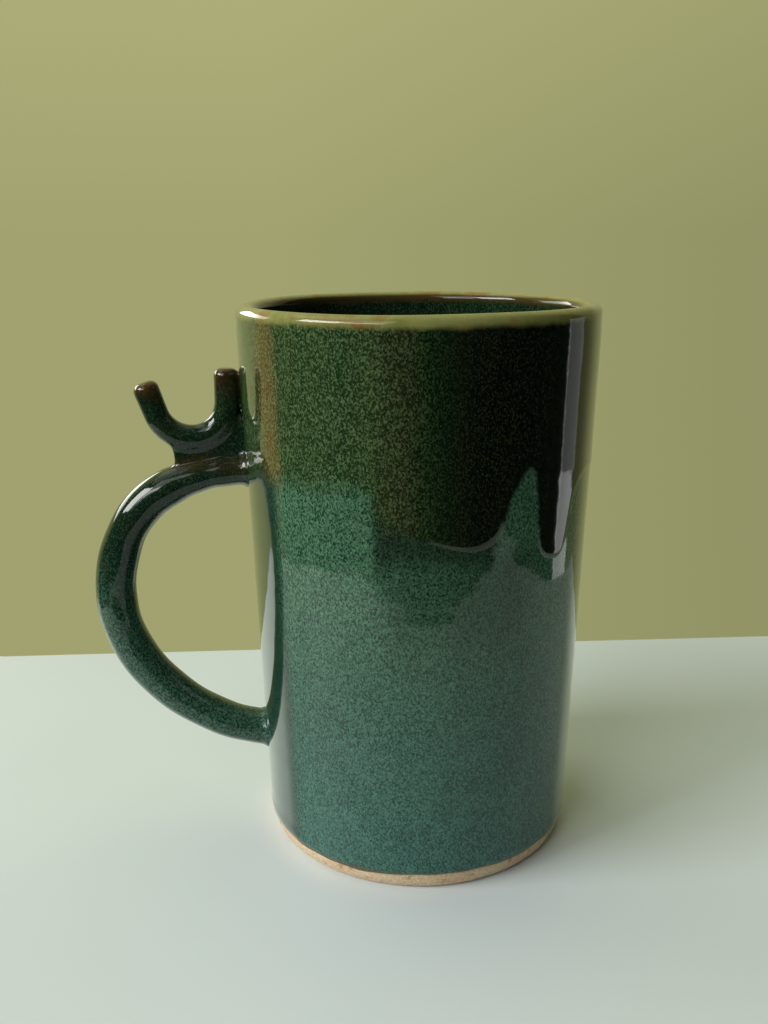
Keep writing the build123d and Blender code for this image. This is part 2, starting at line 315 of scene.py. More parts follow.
# closed band: inside surface, then a tiny ring bridges to the hidden side through the axis
cup_liner = make_mesh("cup_liner_glaze", np.vstack([allr.reshape(-1, 3)]), lathe_faces(len(allr), COLS, True))
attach(cup_liner, "root")
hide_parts("glaze_liner")

# foot: underside with cutting-wire arcs, rounded bare edge, hidden top
prof = []
for r in np.concatenate([np.linspace(0.5, FOOT_R - 0.9, 70), [FOOT_R - 0.45]]):
    prof.append((r, 0.0))
for t in np.linspace(0, 1, 22):
    z = FOOT_RISE * (1 - math.cos(t * math.pi / 2))
    prof.append((None, z))
prof += [(None, 4.8), (None, 5.4)]
foot_rings = []
for r, z in prof:
    if r is None:
        rr = foot_profile(np.array(z)) - (0.05 if z < 4.5 else 0.25)
        rr = rr + 0.05 * np.sin(9 * AZ + 1.0) * smooth(0, 1, z) + 0.03 * np.sin(23 * AZ + 3.0) * smooth(0, 1, z)
        foot_rings.append(ring(rr, z))
    else:
        x, y = r * np.sin(AZ), -r * np.cos(AZ)
        # the wire leaves shallow crossing arcs
        arc = np.hypot(x + 60, y + 25)
        cut = 0.05 * (0.5 + 0.5 * np.sin(arc * 2.3 + 0.8 * np.sin(x * 0.2))) + 0.03 * (0.5 + 0.5 * np.sin(arc * 5.1))
        edge = 1 - smooth(FOOT_R - 4.5, FOOT_R - 1.5, r)
        foot_rings.append(ring(r, cut * edge * 1.0))
for r in np.linspace(BASE_R - 1.2, 0.5, 5):
    foot_rings.append(ring(r, 5.6))
foot = lathe_with_poles("foot_clay", np.array(foot_rings), 0.03, 5.6)
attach(foot, "root")
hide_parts("floor_disc")

# ======================================================================================================
# 4. The handle and the cradle, as distance fields that flow into each other and into the wall
# ======================================================================================================
HANDLE_LINE = natural_spline(HANDLE, 8)


def cradle_line():
    (cs, cz), r = BEND_C, BEND_R
    pts = [(cs - r, z) for z in np.linspace(INNER_TOP + 6, cz, 22)[:-1]]
    pts += [(cs + r * math.cos(a), cz + r * math.sin(a)) for a in np.linspace(math.pi, 2 * math.pi - LEAN, 48)]
    e = pts[-1]
    pts += [(e[0] + l * math.sin(LEAN), e[1] + l * math.cos(LEAN)) for l in np.linspace(0, OUTER_LEN + 6, 22)[1:]]
    return np.array(pts)


CRADLE_LINE = cradle_line()
CRADLE_LEN = np.r_[0, np.cumsum(np.linalg.norm(np.diff(CRADLE_LINE, axis=0), axis=1))]
U0, U1 = 6.0, CRADLE_LEN[-1] - 6.0


def nearest(line, s, z):
    """Closest point of a plane polyline: segment, place along it and distance in the plane."""
    a, b = line[:-1, :2], line[1:, :2]
    d = b - a
    L2 = (d ** 2).sum(1)
    best = np.full(s.shape, 1e18); bi = np.zeros(s.shape, np.int32); bt = np.zeros(s.shape)
    for i in range(len(a)):
        t = np.clip(((s - a[i, 0]) * d[i, 0] + (z - a[i, 1]) * d[i, 1]) / L2[i], 0, 1)
        e = (s - a[i, 0] - t * d[i, 0]) ** 2 + (z - a[i, 1] - t * d[i, 1]) ** 2
        m = e < best
        best[m] = e[m]; bi[m] = i; bt[m] = t[m]
    return bi, bt, np.sqrt(best)


def rounded_and(a, b, c):
    """Where both fields are negative, with the meeting edge rounded by c."""
    ax, bx = a + c, b + c
    return np.minimum(np.maximum(ax, bx), 0) + np.hypot(np.maximum(ax, 0), np.maximum(bx, 0)) - c


def sd_handle(x, y, z):
    s = -x
    i, t, dist = nearest(HANDLE_LINE, s, z)
    th = HANDLE_LINE[i, 2] * (1 - t) + HANDLE_LINE[i + 1, 2] * t
    w = HANDLE_LINE[i, 3] * (1 - t) + HANDLE_LINE[i + 1, 3] * t
    along = i + t
    wob = 0.07 * np.sin(along * 0.21 + 1.0) * np.cos(y * 0.4 + 0.5) + 0.05 * np.sin(along * 0.47 + y * 0.3 + 2.0)
    a, b = th / 2 + GLAZE, w / 2 + GLAZE
    k0 = np.sqrt((dist / a) ** 2 + (y / b) ** 2)
    k1 = np.sqrt((dist / a ** 2) ** 2 + (y / b ** 2) ** 2)
    return np.where(k1 > 1e-9, k0 * (k0 - 1) / np.maximum(k1, 1e-9), -a) + wob


def sd_cradle(x, y, z):
    s = -x
    i, t, dist = nearest(CRADLE_LINE, s, z)
    u = CRADLE_LEN[i] + t * (CRADLE_LEN[i + 1] - CRADLE_LEN[i])
    rad = np.hypot(dist, y) - CRADLE_R - GLAZE - 0.05 * np.sin(u * 0.45 + 1.0)
    end = np.maximum(U0 - u, u - U1) - GLAZE * 0.5
    return rounded_and(rad, end, 1.9)


def sd_web(x, y, z):
    """Slip under the bend: it fills the space between the bend, the wall and the back of the handle."""
    s = -x
    cs, cz = BEND_C
    inside_bend = BEND_R - np.hypot(s - cs, z - cz)
    left = s - 57.2 - 0.10 * (z - 95)
    plate = np.maximum(np.maximum(inside_bend, left), np.maximum(z - 104.0, 90.0 - z))
    plate = np.maximum(plate, 40.0 - s)
    return rounded_and(plate, np.abs(y) - 1.6, 0.9)


SLOPE = math.hypot(1, (LIP_R_OUT - BASE_R) / (Z_LIP - FOOT_RISE))


def sd_wall(x, y, z, sink=0.0):
    az = np.arctan2(x, -y)
    d = dip_local(az, z)
    return (np.hypot(x, y) - outer_glazed(az, z, d) + sink) / SLOPE


# the dark coat's edge distance near the handle, on a small table so that the field can be read quickly
_ta = np.linspace(-2.2, -0.95, 126); _tz = np.linspace(10, 125, 231)
_TA, _TZ = np.meshgrid(_ta, _tz, indexing="ij")
_TD = dip_distance(_TA, _TZ)


def dip_local(az, z):
    fa = np.clip((az - _ta[0]) / (_ta[1] - _ta[0]), 0, len(_ta) - 1.001); fz = np.clip((z - _tz[0]) / (_tz[1] - _tz[0]), 0, len(_tz) - 1.001)
    ia, iz = fa.astype(int), fz.astype(int)
    ua, uz = fa - ia, fz - iz
    return (_TD[ia, iz] * (1 - ua) * (1 - uz) + _TD[ia + 1, iz] * ua * (1 - uz) + _TD[ia, iz + 1] * (1 - ua) * uz + _TD[ia + 1, iz + 1] * ua * uz)


def smin(a, b, k):
    h = np.maximum(k - np.abs(a - b), 0) / k
    return np.minimum(a, b) - h * h * h * k / 6.0


def fused(x, y, z):
    """The handle, cradle and web run together; they enter the wall and are cut off 1.3 mm behind its face."""
    h, c, web = sd_handle(x, y, z), sd_cradle(x, y, z), sd_web(x, y, z)
    w = sd_wall(x, y, z)
    root = 0.55 * np.exp(-(np.maximum(w, 0.0) / 0.8) ** 2)            # the roots spread a little where they meet the wall
    f = smin(h - root, web - 0.4 * root, 2.4)
    # a bead of glaze closes the crack between the cradle's inner arm and the wall, above the web
    bead = np.maximum(smin(c, w + 0.03 + np.maximum(98.5 - z, 0.0), 1.3), c - 0.8)
    f = smin(f, bead, 2.2)
    return np.maximum(f, -(w + 1.3))


def surface_nets(lo, hi, step, field):
    """Quad mesh of field = 0 on a grid: one vertex per crossed cell, one face per crossed edge."""
    n = np.ceil((np.array(hi) - lo) / step).astype(int) + 1
    gx, gy, gz = (lo[i] + step * np.arange(n[i]) for i in range(3))
    F = np.empty(n, np.float64)
    for i0 in range(0, n[0], 12):
        X, Y, Z = np.meshgrid(gx[i0:i0 + 12], gy, gz, indexing="ij")
        F[i0:i0 + 12] = field(X, Y, Z)
    S = F < 0
    c = np.zeros(tuple(n - 1), np.int8)
    for a in (0, 1):
        for b in (0, 1):
            for d in (0, 1):
                c += S[a:n[0] - 1 + a, b:n[1] - 1 + b, d:n[2] - 1 + d]
    active = (c > 0) & (c < 8)
    idx = np.full(active.shape, -1, np.int64); cells = np.argwhere(active); idx[active] = np.arange(len(cells))
    acc = np.zeros((len(cells), 3)); cnt = np.zeros(len(cells))
    corners = [(a, b, d) for a in (0, 1) for b in (0, 1) for d in (0, 1)]
    for p in corners:
        for ax in range(3):
            if p[ax]:
                continue
            q = list(p); q[ax] = 1
            f0 = F[cells[:, 0] + p[0], cells[:, 1] + p[1], cells[:, 2] + p[2]]
            f1 = F[cells[:, 0] + q[0], cells[:, 1] + q[1], cells[:, 2] + q[2]]
            m = (f0 < 0) != (f1 < 0)
            t = np.where(m, f0 / np.where(m, f0 - f1, 1), 0)
            pt = np.tile(np.array(p, float), (len(cells), 1)); pt[:, ax] = t
            acc[m] += pt[m]; cnt[m] += 1
    verts = np.array(lo) + step * (cells + acc / cnt[:, None])
    faces = []
    for ax in range(3):
        b, d = (ax + 1) % 3, (ax + 2) % 3
        s0 = [slice(0, m) for m in n]; s1 = [slice(0, m) for m in n]
        s0[ax] = slice(0, n[ax] - 1); s1[ax] = slice(1, n[ax])
        A, B = S[tuple(s0)], S[tuple(s1)]
        e = np.argwhere(A != B)
        e = e[(e[:, b] > 0) & (e[:, d] > 0) & (e[:, b] < n[b] - 1) & (e[:, d] < n[d] - 1)]
        flip = A[e[:, 0], e[:, 1], e[:, 2]]
        q = []
        for ob, od in ((-1, -1), (0, -1), (0, 0), (-1, 0)):
            k = e.copy(); k[:, b] += ob; k[:, d] += od
            q.append(idx[k[:, 0], k[:, 1], k[:, 2]])
        q = np.column_stack(q)
        q[~flip] = q[~flip][:, ::-1]
        faces.append(q)
    return verts, np.vstack(faces)


def settle(verts, faces, field, rounds, keep=None):
    """Evens the mesh out and puts every vertex exactly on the surface."""
    nv = len(verts)
    e = np.vstack([faces[:, [i, (i + 1) % 4]] for i in range(4)])
    deg = np.bincount(e[:, 0], minlength=nv) + np.bincount(e[:, 1], minlength=nv)
    v = verts.copy()

    def project(v):
        h = 0.02
        f = field(v[:, 0], v[:, 1], v[:, 2])
        g = np.column_stack([field(v[:, 0] + h * (i == 0), v[:, 1] + h * (i == 1), v[:, 2] + h * (i == 2)) -
                             field(v[:, 0] - h * (i == 0), v[:, 1] - h * (i == 1), v[:, 2] - h * (i == 2)) for i in range(3)]) / (2 * h)
        g2 = np.maximum((g * g).sum(1), 0.3)
        return v - np.clip(f / g2, -0.3, 0.3)[:, None] * g

    for k in range(rounds):
        s = np.zeros_like(v)
        for i in range(3):
            s[:, i] = np.bincount(e[:, 0], v[e[:, 1], i], nv) + np.bincount(e[:, 1], v[e[:, 0], i], nv)
        v = v * 0.4 + 0.6 * s / deg[:, None]
        v = project(v)
    return project(project(v))


STEP = 0.42 if FINE else 0.8
hv, hf = surface_nets(np.array([-80.0, -12.0, 10.0]), (-36.0, 12.0, 119.0), STEP, fused)
hv = settle(hv, hf, fused, 3)
handle = make_mesh("handle_and_cradle", hv, hf)
float_attribute(handle, "wall_mm", sd_wall(hv[:, 0], hv[:, 1], hv[:, 2]))
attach(handle, "root")
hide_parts("handle_coil", "handle_joint_upper", "handle_joint_lower", "cradle_coil", "cradle_web", "glaze_handle")

# ======================================================================================================
# 5. Materials
# ======================================================================================================
class Nodes:
    def __init__(self, name):
        self.mat = bpy.data.materials.new(name)
        self.mat.use_nodes = True
        self.t = self.mat.node_tree
        self.bsdf = self.t.nodes["Principled BSDF"]
        self._obj = None

    def add(self, kind, inputs=None, **props):
        n = self.t.nodes.new(kind)
        for k, v in props.items():
            setattr(n, k, v)
        for k, v in (inputs or {}).items():
            self.put(n.inputs[k], v)
        return n

    def put(self, socket, v):
        if isinstance(v, bpy.types.NodeSocket):
            self.t.links.new(v, socket)
        else:
            socket.default_value = v

    @property
    def obj(self):
        if self._obj is None:
            self._obj = self.add("ShaderNodeTexCoord").outputs["Object"]
        return self._obj

    def math(self, op, a, b=0.0, c=0.0, clamp=False):
        n = self.add("ShaderNodeMath", {0: a, 1: b, 2: c}, operation=op, use_clamp=clamp)
        return n.outputs[0]

    def noise(self, scale, detail=2.0, rough=0.5, vec=None, distort=0.0):
        n = self.add("ShaderNodeTexNoise", {"Vector": vec or self.obj, "Scale": scale, "Detail": detail, "Roughness": rough, "Distortion": distort})
        return n.outputs["Fac"]

    def scaled(self, sx, sy, sz):
        return self.add("ShaderNodeMapping", {"Vector": self.obj, "Scale": (sx, sy, sz)}).outputs[0]

    def span(self, v, a, b, c=0.0, d=1.0, kind="SMOOTHSTEP"):
        n = self.add("ShaderNodeMapRange", {"Value": v, "From Min": a, "From Max": b, "To Min": c, "To Max": d}, interpolation_type=kind)
        n.clamp = True
        return n.outputs["Result"]

    def ramp(self, fac, stops, interp="LINEAR"):
        n = self.add("ShaderNodeValToRGB", {"Fac": fac})
        cr = n.color_ramp
        cr.interpolation = interp
        while len(cr.elements) < len(stops):
            cr.elements.new(0.5)
        for e, (p, c) in zip(cr.elements, stops):
            e.position = p
            e.color = (*c, 1.0) if len(c) == 3 else c
        return n.outputs["Color"]

    def mix(self, fac, a, b, blend="MIX"):
        n = self.add("ShaderNodeMix", data_type="RGBA", blend_type=blend)
        for sock in n.inputs:
            if sock.identifier == "Factor_Float": self.put(sock, fac)
            if sock.identifier == "A_Color": self.put(sock, a if isinstance(a, bpy.types.NodeSocket) else (*a, 1.0))
            if sock.identifier == "B_Color": self.put(sock, b if isinstance(b, bpy.types.NodeSocket) else (*b, 1.0))
        return [o for o in n.outputs if o.identifier == "Result_Color"][0]

    def xyz(self):
        n = self.add("ShaderNodeSeparateXYZ", {0: self.obj})
        return n.outputs[0], n.outputs[1], n.outputs[2]

    def attr(self, name):
        return self.add("ShaderNodeAttribute", attribute_name=name, attribute_type="GEOMETRY").outputs["Fac"]

    def bump(self, height, distance, strength=1.0):
        n = self.add("ShaderNodeBump", {"Height": height, "Distance": distance, "Strength": strength})
        self.t.links.new(n.outputs[0], self.bsdf.inputs["Normal"])

    def set(self, **kw):
        for k, v in kw.items():
            self.put(self.bsdf.inputs[k.replace("_", " ")], v)


def srgb(r, g, b):
    return tuple(((c / 255) / 12.92 if c / 255 <= 0.04045 else ((c / 255 + 0.055) / 1.055) ** 2.4) for c in (r, g, b))


def glaze_shader(m, rough=0.06, coat=0.45):
    """Glassy surface: plain in front, and a clear skin that mirrors the room more and more towards the edges."""
    m.set(Roughness=rough, IOR=1.46)
    lw = m.add("ShaderNodeLayerWeight", {"Blend": 0.5}).outputs["Facing"]
    m.put(m.bsdf.inputs["Coat Weight"], m.math("MULTIPLY", m.span(lw, 0.47, 0.62), coat))
    m.bsdf.inputs["Coat IOR"].default_value = 2.0
    m.bsdf.inputs["Coat Roughness"].default_value = 0.05


# ---- outside of the cup -------------------------------------------------------------------------------
def at(deg):
    return deg / 360 + 0.5


def speckle(m):
    """Fine grain of the glaze: crystals under half a millimetre, each with its own brightness, over a soft cloud."""
    v = m.scaled(1.0, 1.0, 0.7)
    cells = m.add("ShaderNodeTexVoronoi", {"Vector": v, "Scale": 3600.0}, feature="F1")
    grain = m.add("ShaderNodeSeparateColor", {0: cells.outputs["Color"]}).outputs[0]
    cloud = m.noise(2500.0, 2.0, 0.5, vec=v)
    return m.math("ADD", m.math("MULTIPLY_ADD", grain, 0.20, 0.15), m.math("MULTIPLY", cloud, 0.5))


def rim_colour(m):
    return m.ramp(m.noise(150.0, 3.0, 0.6), [(0.3, srgb(122, 130, 66)), (0.5, srgb(144, 146, 84)), (0.66, srgb(138, 110, 54))])


TEAL_DARK = [(0.0, srgb(14, 56, 50)), (0.35, srgb(14, 52, 42)), (0.75, srgb(20, 54, 38)), (1.0, srgb(22, 54, 38))]
TEAL_LIGHT = [(0.0, srgb(92, 144, 128)), (0.5, srgb(98, 146, 122)), (0.8, srgb(112, 160, 128)), (1.0, srgb(112, 158, 124))]
# colours of the dark coat round the cup; the lime-green stops near -74 and from 56 to 80 degrees are painted
# reflection of the olive backdrop, the rest is the coat's own colour
DARK_COAT_AND_OLIVE_REFLECTION = [(at(-175), srgb(18, 36, 18)), (at(-120), srgb(18, 38, 18)), (at(-95), srgb(28, 48, 22)), (at(-74), srgb(40, 64, 27)), (at(-65), srgb(20, 40, 18)), (at(-60), srgb(86, 60, 22)), (at(-56), srgb(80, 60, 24)),
             (at(-52), srgb(30, 52, 26)), (at(-38), srgb(30, 54, 28)), (at(-22), srgb(22, 46, 22)), (at(-16), srgb(32, 38, 18)), (at(-10), srgb(30, 34, 16)),
             (at(-6), srgb(6, 32, 11)), (at(1), srgb(4, 24, 8)), (at(7), srgb(5, 12, 6)), (at(48), srgb(5, 11, 6)), (at(56), srgb(46, 66, 22)), (at(80), srgb(34, 52, 22)), (at(105), srgb(16, 32, 16)), (at(130), srgb(16, 34, 16)), (at(175), srgb(18, 36, 18))]

m = Nodes("teal_and_dark_glaze")
x, y, z = m.xyz()
az = m.math("ARCTAN2", x, m.math("MULTIPLY", y, -1.0))              # 0 at the front, -pi/2 at the handle
azn = m.math("ADD", m.math("DIVIDE", az, 2 * math.pi), 0.5)           # 0..1 once round
zmm = m.math("MULTIPLY", z, 1000.0)
speck = speckle(m)
mid = m.noise(160.0, 3.0, 0.55)
drips = m.noise(1.0, 3.0, 0.55, vec=m.scaled(230.0, 230.0, 24.0))     # long runs down the wall

teal_dark = m.ramp(m.span(zmm, 4, 95), TEAL_DARK)
teal_light = m.ramp(m.span(zmm, 4, 95), TEAL_LIGHT)
amount = m.math("ADD", m.span(speck, 0.38, 0.62, kind="LINEAR"), m.math("MULTIPLY", m.math("SUBTRACT", mid, 0.5), 0.35), clamp=True)
teal = m.mix(m.math("MULTIPLY", amount, 0.66), teal_dark, teal_light)
painted_handle_reflection = m.math("MULTIPLY", m.span(azn, at(-52), at(-60), 0.0, 0.72), m.span(azn, at(-112), at(-84)))                      # painted reflection of the dark handle: the teal is darkened on the wall beside the handle
teal = m.mix(painted_handle_reflection, teal, srgb(8, 34, 22))
painted_olive_reflection = m.math("MAXIMUM", m.math("MULTIPLY", m.span(azn, at(-68), at(-73)), m.span(azn, at(-120), at(-100))),
              m.math("MULTIPLY", m.span(azn, at(52), at(60)), m.span(azn, at(110), at(85))))
painted_olive_reflection = m.math("MULTIPLY", painted_olive_reflection, m.span(zmm, 58.0, 78.0))              # both flanks: painted reflection of the olive backdrop, lime-green over the teal
teal = m.mix(m.math("MULTIPLY", painted_olive_reflection, 0.45), teal, srgb(46, 74, 30))

# dark coat: its colour changes round the cup, from mottled green through a brown run to brown-black; the lime-green
# stops on the two flanks (near -74 and from 56 to 80 degrees) are painted reflection of the olive backdrop
dark_coat_and_reflection = m.ramp(m.math("ADD", azn, m.math("MULTIPLY", m.math("SUBTRACT", m.noise(70.0, 2.0, 0.5), 0.5), 0.02)), DARK_COAT_AND_OLIVE_REFLECTION)
dspeck = m.math("MULTIPLY", m.span(speck, 0.46, 0.64, kind="LINEAR"), m.math("MAXIMUM", m.span(azn, at(-26), at(4), 0.56, 0.08), m.span(azn, at(95), at(165), 0.08, 0.56)))
runs = m.span(drips, 0.40, 0.64)
dark = m.mix(m.math("MULTIPLY", runs, m.math("MAXIMUM", m.span(azn, at(-15), at(0), 0.20, 0.06), m.span(azn, at(95), at(165), 0.06, 0.20))), dark_coat_and_reflection, m.mix(0.5, dark_coat_and_reflection, srgb(84, 84, 44)))
dark = m.mix(dspeck, dark, srgb(122, 152, 100))

dip = m.attr("dip_mm")
wob = m.math("MULTIPLY", m.math("SUBTRACT", m.noise(420.0, 3.0, 0.6), 0.5), 1.6)
edge_soft = m.math("MAXIMUM", m.span(azn, at(-20), at(-4), 2.6, 0.5), m.span(azn, at(110), at(150), 0.5, 2.6))
dip_w = m.math("ADD", dip, wob)
mask = m.math("DIVIDE", m.math("ADD", dip_w, edge_soft), m.math("MULTIPLY", edge_soft, 2.0), clamp=True)
# below the lobe the teal is mixed towards a dark green, and half as much lower down across the front
veil_z = m.span(m.math("ADD", zmm, m.math("MULTIPLY", m.math("SUBTRACT", mid, 0.5), 7.0)), 71.0, 84.0)
veil = m.math("MULTIPLY", veil_z, m.math("MULTIPLY", m.span(azn, at(-23), at(-19)), m.span(azn, at(19), at(14))))
lower_front_darker = m.math("MULTIPLY", m.math("MULTIPLY", m.span(zmm, 50.0, 70.0), m.span(zmm, 84.0, 77.0)), m.math("MULTIPLY", m.span(azn, at(-24), at(-12)), m.span(azn, at(40), at(20))))
veil = m.math("MAXIMUM", veil, m.math("MULTIPLY", lower_front_darker, 0.50))
body = m.mix(m.math("MULTIPLY", veil, 0.92), teal, m.mix(m.math("MULTIPLY", amount, 0.22), srgb(8, 26, 14), srgb(92, 120, 92)))
col = m.mix(mask, body, dark)
# rim: the glaze breaks to olive and amber where it runs thin
rim = m.span(m.math("ADD", zmm, m.math("MULTIPLY", m.math("SUBTRACT", m.noise(260.0, 3.0, 0.6), 0.5), 1.2)), 126.8, 128.3)
col = m.mix(m.math("MULTIPLY", rim, 0.9), col, rim_colour(m))
# bottom edge: thin glaze over clay shows warm
lowb = m.span(m.math("ADD", zmm, m.math("MULTIPLY", m.math("SUBTRACT", mid, 0.5), 1.2)), 5.2, 4.4)
col = m.mix(m.math("MULTIPLY", lowb, 0.7), col, srgb(104, 84, 56))
m.t.links.new(col, m.bsdf.inputs["Base Color"])
flanks = m.math("MAXIMUM", m.math("MULTIPLY", m.span(azn, at(-54), at(-62)), m.span(azn, at(-125), at(-105))),
                m.math("MULTIPLY", m.span(azn, at(50), at(60)), m.span(azn, at(115), at(95))))
glaze_shader(m, 0.07, m.math("MULTIPLY_ADD", flanks, 0.88, 0.04))
peel = m.math("ADD", m.math("MULTIPLY", m.noise(260.0, 2.0, 0.5), 0.6), m.math("MULTIPLY", m.noise(900.0, 1.0, 0.5), 0.16))
m.bump(peel, 0.00004)
outer_mat = m.mat

# ---- liner --------------------------------------------------------------------------------------------
m = Nodes("liner_glaze_mat")
x, y, z = m.xyz()
zmm = m.math("MULTIPLY", z, 1000.0)
speck = speckle(m)
mid = m.noise(120.0, 3.0, 0.55)
base = m.mix(m.span(mid, 0.35, 0.65), srgb(8, 28, 15), srgb(16, 40, 22))
base = m.mix(m.math("MULTIPLY", m.span(speck, 0.46, 0.66), 0.25), base, srgb(96, 120, 84))
band = m.span(m.math("ADD", zmm, m.math("MULTIPLY", m.math("SUBTRACT", m.noise(220.0, 3.0, 0.6), 0.5), 2.0)), 126.6, 128.6)
base = m.mix(m.math("MULTIPLY", band, 0.85), base, srgb(74, 58, 26))
rim = m.span(zmm, 128.8, 129.6)
base = m.mix(rim, base, rim_colour(m))
m.t.links.new(base, m.bsdf.inputs["Base Color"])
glaze_shader(m, 0.08)
m.bump(m.noise(240.0, 2.0, 0.5), 0.00004)
liner_mat = m.mat

# ---- bare clay ------------------------------------------------------------------------------------------
m = Nodes("bare_stoneware_mat")
grog = m.noise(1500.0, 3.0, 0.7)
spots = m.noise(420.0, 2.0, 0.6)
base = m.mix(m.span(grog, 0.35, 0.7), srgb(206, 178, 142), srgb(232, 212, 180))
base = m.mix(m.math("MULTIPLY", m.span(spots, 0.60, 0.70), 0.5), base, srgb(120, 88, 62))
base = m.mix(m.math("MULTIPLY", m.span(m.noise(60.0, 2.0, 0.5), 0.4, 0.7), 0.35), base, srgb(206, 152, 110))
m.t.links.new(base, m.bsdf.inputs["Base Color"])
m.set(Roughness=0.85)
m.bump(m.math("ADD", grog, m.math("MULTIPLY", m.noise(5200.0, 2.0, 0.6), 0.4)), 0.00012)
clay_mat = m.mat

# ---- handle and cradle ----------------------------------------------------------------------------------
m = Nodes("handle_glaze_mat")
x, y, z = m.xyz()
zmm = m.math("MULTIPLY", z, 1000.0)
xmm = m.math("MULTIPLY", x, 1000.0)
speck = speckle(m)
mid = m.noise(140.0, 3.0, 0.55)
low = m.span(m.math("ADD", zmm, m.math("MULTIPLY", m.math("SUBTRACT", mid, 0.5), 16.0)), 76.0, 50.0)      # lower handle: teal shows
base_dark = m.mix(m.span(mid, 0.35, 0.65), srgb(12, 38, 26), srgb(22, 40, 22))
teal_h = m.mix(m.span(speck, 0.42, 0.60, kind="LINEAR"), srgb(16, 54, 44), srgb(84, 124, 102))
base = m.mix(m.math("MULTIPLY", low, 0.8), base_dark, teal_h)
base = m.mix(m.math("MULTIPLY", m.span(speck, 0.48, 0.66), 0.20), base, srgb(110, 134, 96))
# amber where the glaze thins: the cut ends of the cradle and the top of the shoulder by the wall
tips = m.math("MAXIMUM", m.math("MULTIPLY", m.span(zmm, 107.5, 113.0), m.span(xmm, -58.0, -61.0)), m.span(zmm, 108.0, 115.5))
shoulder = m.math("MULTIPLY", m.math("MULTIPLY", m.span(zmm, 90.5, 93.5), m.span(zmm, 97.0, 94.5)), m.span(xmm, -62.0, -53.0))
warm = m.math("MAXIMUM", m.math("MULTIPLY", tips, 0.85), m.math("MULTIPLY", shoulder, 0.35))
base = m.mix(warm, base, m.mix(m.span(mid, 0.4, 0.6), srgb(56, 34, 14), srgb(88, 60, 28)))
# where the joint thins out on the wall it takes the wall's colours
skin = m.math("MULTIPLY", m.math("MULTIPLY", m.span(m.attr("wall_mm"), 1.6, 0.1), 0.6), m.span(zmm, 80.0, 70.0))
wall_teal = m.mix(m.math("MULTIPLY", m.span(speck, 0.42, 0.60, kind="LINEAR"), 0.62), m.ramp(m.span(zmm, 4, 95), TEAL_DARK), m.ramp(m.span(zmm, 4, 95), TEAL_LIGHT))
wall_dark = m.mix(m.math("MULTIPLY", m.span(speck, 0.46, 0.66, kind="LINEAR"), 0.50), srgb(22, 42, 20), srgb(126, 150, 100))
base = m.mix(skin, base, m.mix(m.span(zmm, 90.5, 94.5), wall_teal, wall_dark))
m.t.links.new(base, m.bsdf.inputs["Base Color"])
glaze_shader(m, 0.06)
m.bump(m.math("ADD", m.noise(300.0, 2.0, 0.5), m.math("MULTIPLY", m.noise(900.0, 1.0, 0.5), 0.15)), 0.00003)
handle_mat = m.mat

for ob, mt in ((cup_outer, outer_mat), (cup_liner, liner_mat), (foot, clay_mat), (handle, handle_mat)):
    ob.data.materials.append(mt)

# ======================================================================================================
# 6. Stage, light and camera
# ======================================================================================================
def slab():
    me = bpy.data.meshes.new("table_top")
    a = math.radians(-3.2)
    pts = []
    for px, py in ((-0.15, -0.182), (0.21, -0.182), (0.21, 0.104), (-0.225, 0.104), (-0.225, -0.07)):
        pts.append((px * math.cos(a) - py * math.sin(a), px * math.sin(a) + py * math.cos(a)))
    n = len(pts)
    v = [(p[0], p[1], 0.0) for p in pts] + [(p[0], p[1], -0.03) for p in pts]
    f = [tuple(range(n)), tuple(reversed(range(n, 2 * n)))] + [((i + 1) % n, i, i + n, (i + 1) % n + n) for i in range(n)]
    me.from_pydata(v, [], f); me.update()
    ob = bpy.data.objects.new("table_top", me)
    bpy.context.scene.collection.objects.link(ob)
    bev = ob.modifiers.new("edge", "BEVEL"); bev.width = 0.002; bev.segments = 4; bev.limit_method = "ANGLE"
    m = Nodes("pale_table")
    c = m.mix(m.span(m.noise(6.0, 2.0, 0.5), 0.3, 0.7), srgb(212, 224, 228), srgb(220, 231, 234))
    m.t.links.new(c, m.bsdf.inputs["Base Color"])
    m.set(Roughness=0.45)
    me.materials.append(m.mat)


slab()

world = bpy.data.worlds.new("room")
bpy.context.scene.world = world
world.use_nodes = True
wt = world.node_tree
bg = wt.nodes["Background"]
tc = wt.nodes.new("ShaderNodeTexCoord")
sx = wt.nodes.new("ShaderNodeSeparateXYZ"); wt.links.new(tc.outputs["Generated"], sx.inputs[0])


def wmath(op, a, b=0.0, c=0.0, clamp=False):
    n = wt.nodes.new("ShaderNodeMath"); n.operation = op; n.use_clamp = clamp
    for k, v in enumerate((a, b, c)):
        if isinstance(v, bpy.types.NodeSocket): wt.links.new(v, n.inputs[k])
        else: n.inputs[k].default_value = v
    return n.outputs[0]


hor = wmath("SQRT", wmath("ADD", wmath("MULTIPLY", sx.outputs[0], sx.outputs[0]), wmath("MULTIPLY", sx.outputs[1], sx.outputs[1])))
cosd = wmath("DIVIDE", wmath("ADD", wmath("MULTIPLY", sx.outputs[0], -0.04), wmath("MULTIPLY", sx.outputs[1], 0.999)), wmath("MAXIMUM", hor, 0.001))
wall_w = wmath("MULTIPLY_ADD", cosd, 22.0, -6.6, clamp=True)
shade = wmath("ADD", wmath("MULTIPLY_ADD", wmath("MAXIMUM", sx.outputs[0], 0.0), -0.42, 1.0), wmath("MULTIPLY", wmath("MAXIMUM", sx.outputs[2], 0.0), 0.8))
mixn = wt.nodes.new("ShaderNodeMix"); mixn.data_type = "RGBA"
for s in mixn.inputs:
    if s.identifier == "Factor_Float": wt.links.new(wall_w, s)
    if s.identifier == "A_Color": s.default_value = (0.018, 0.020, 0.016, 1)
    if s.identifier == "B_Color": s.default_value = (0.355, 0.360, 0.162, 1)
wt.links.new([o for o in mixn.outputs if o.identifier == "Result_Color"][0], bg.inputs["Color"])
wt.links.new(shade, bg.inputs["Strength"])


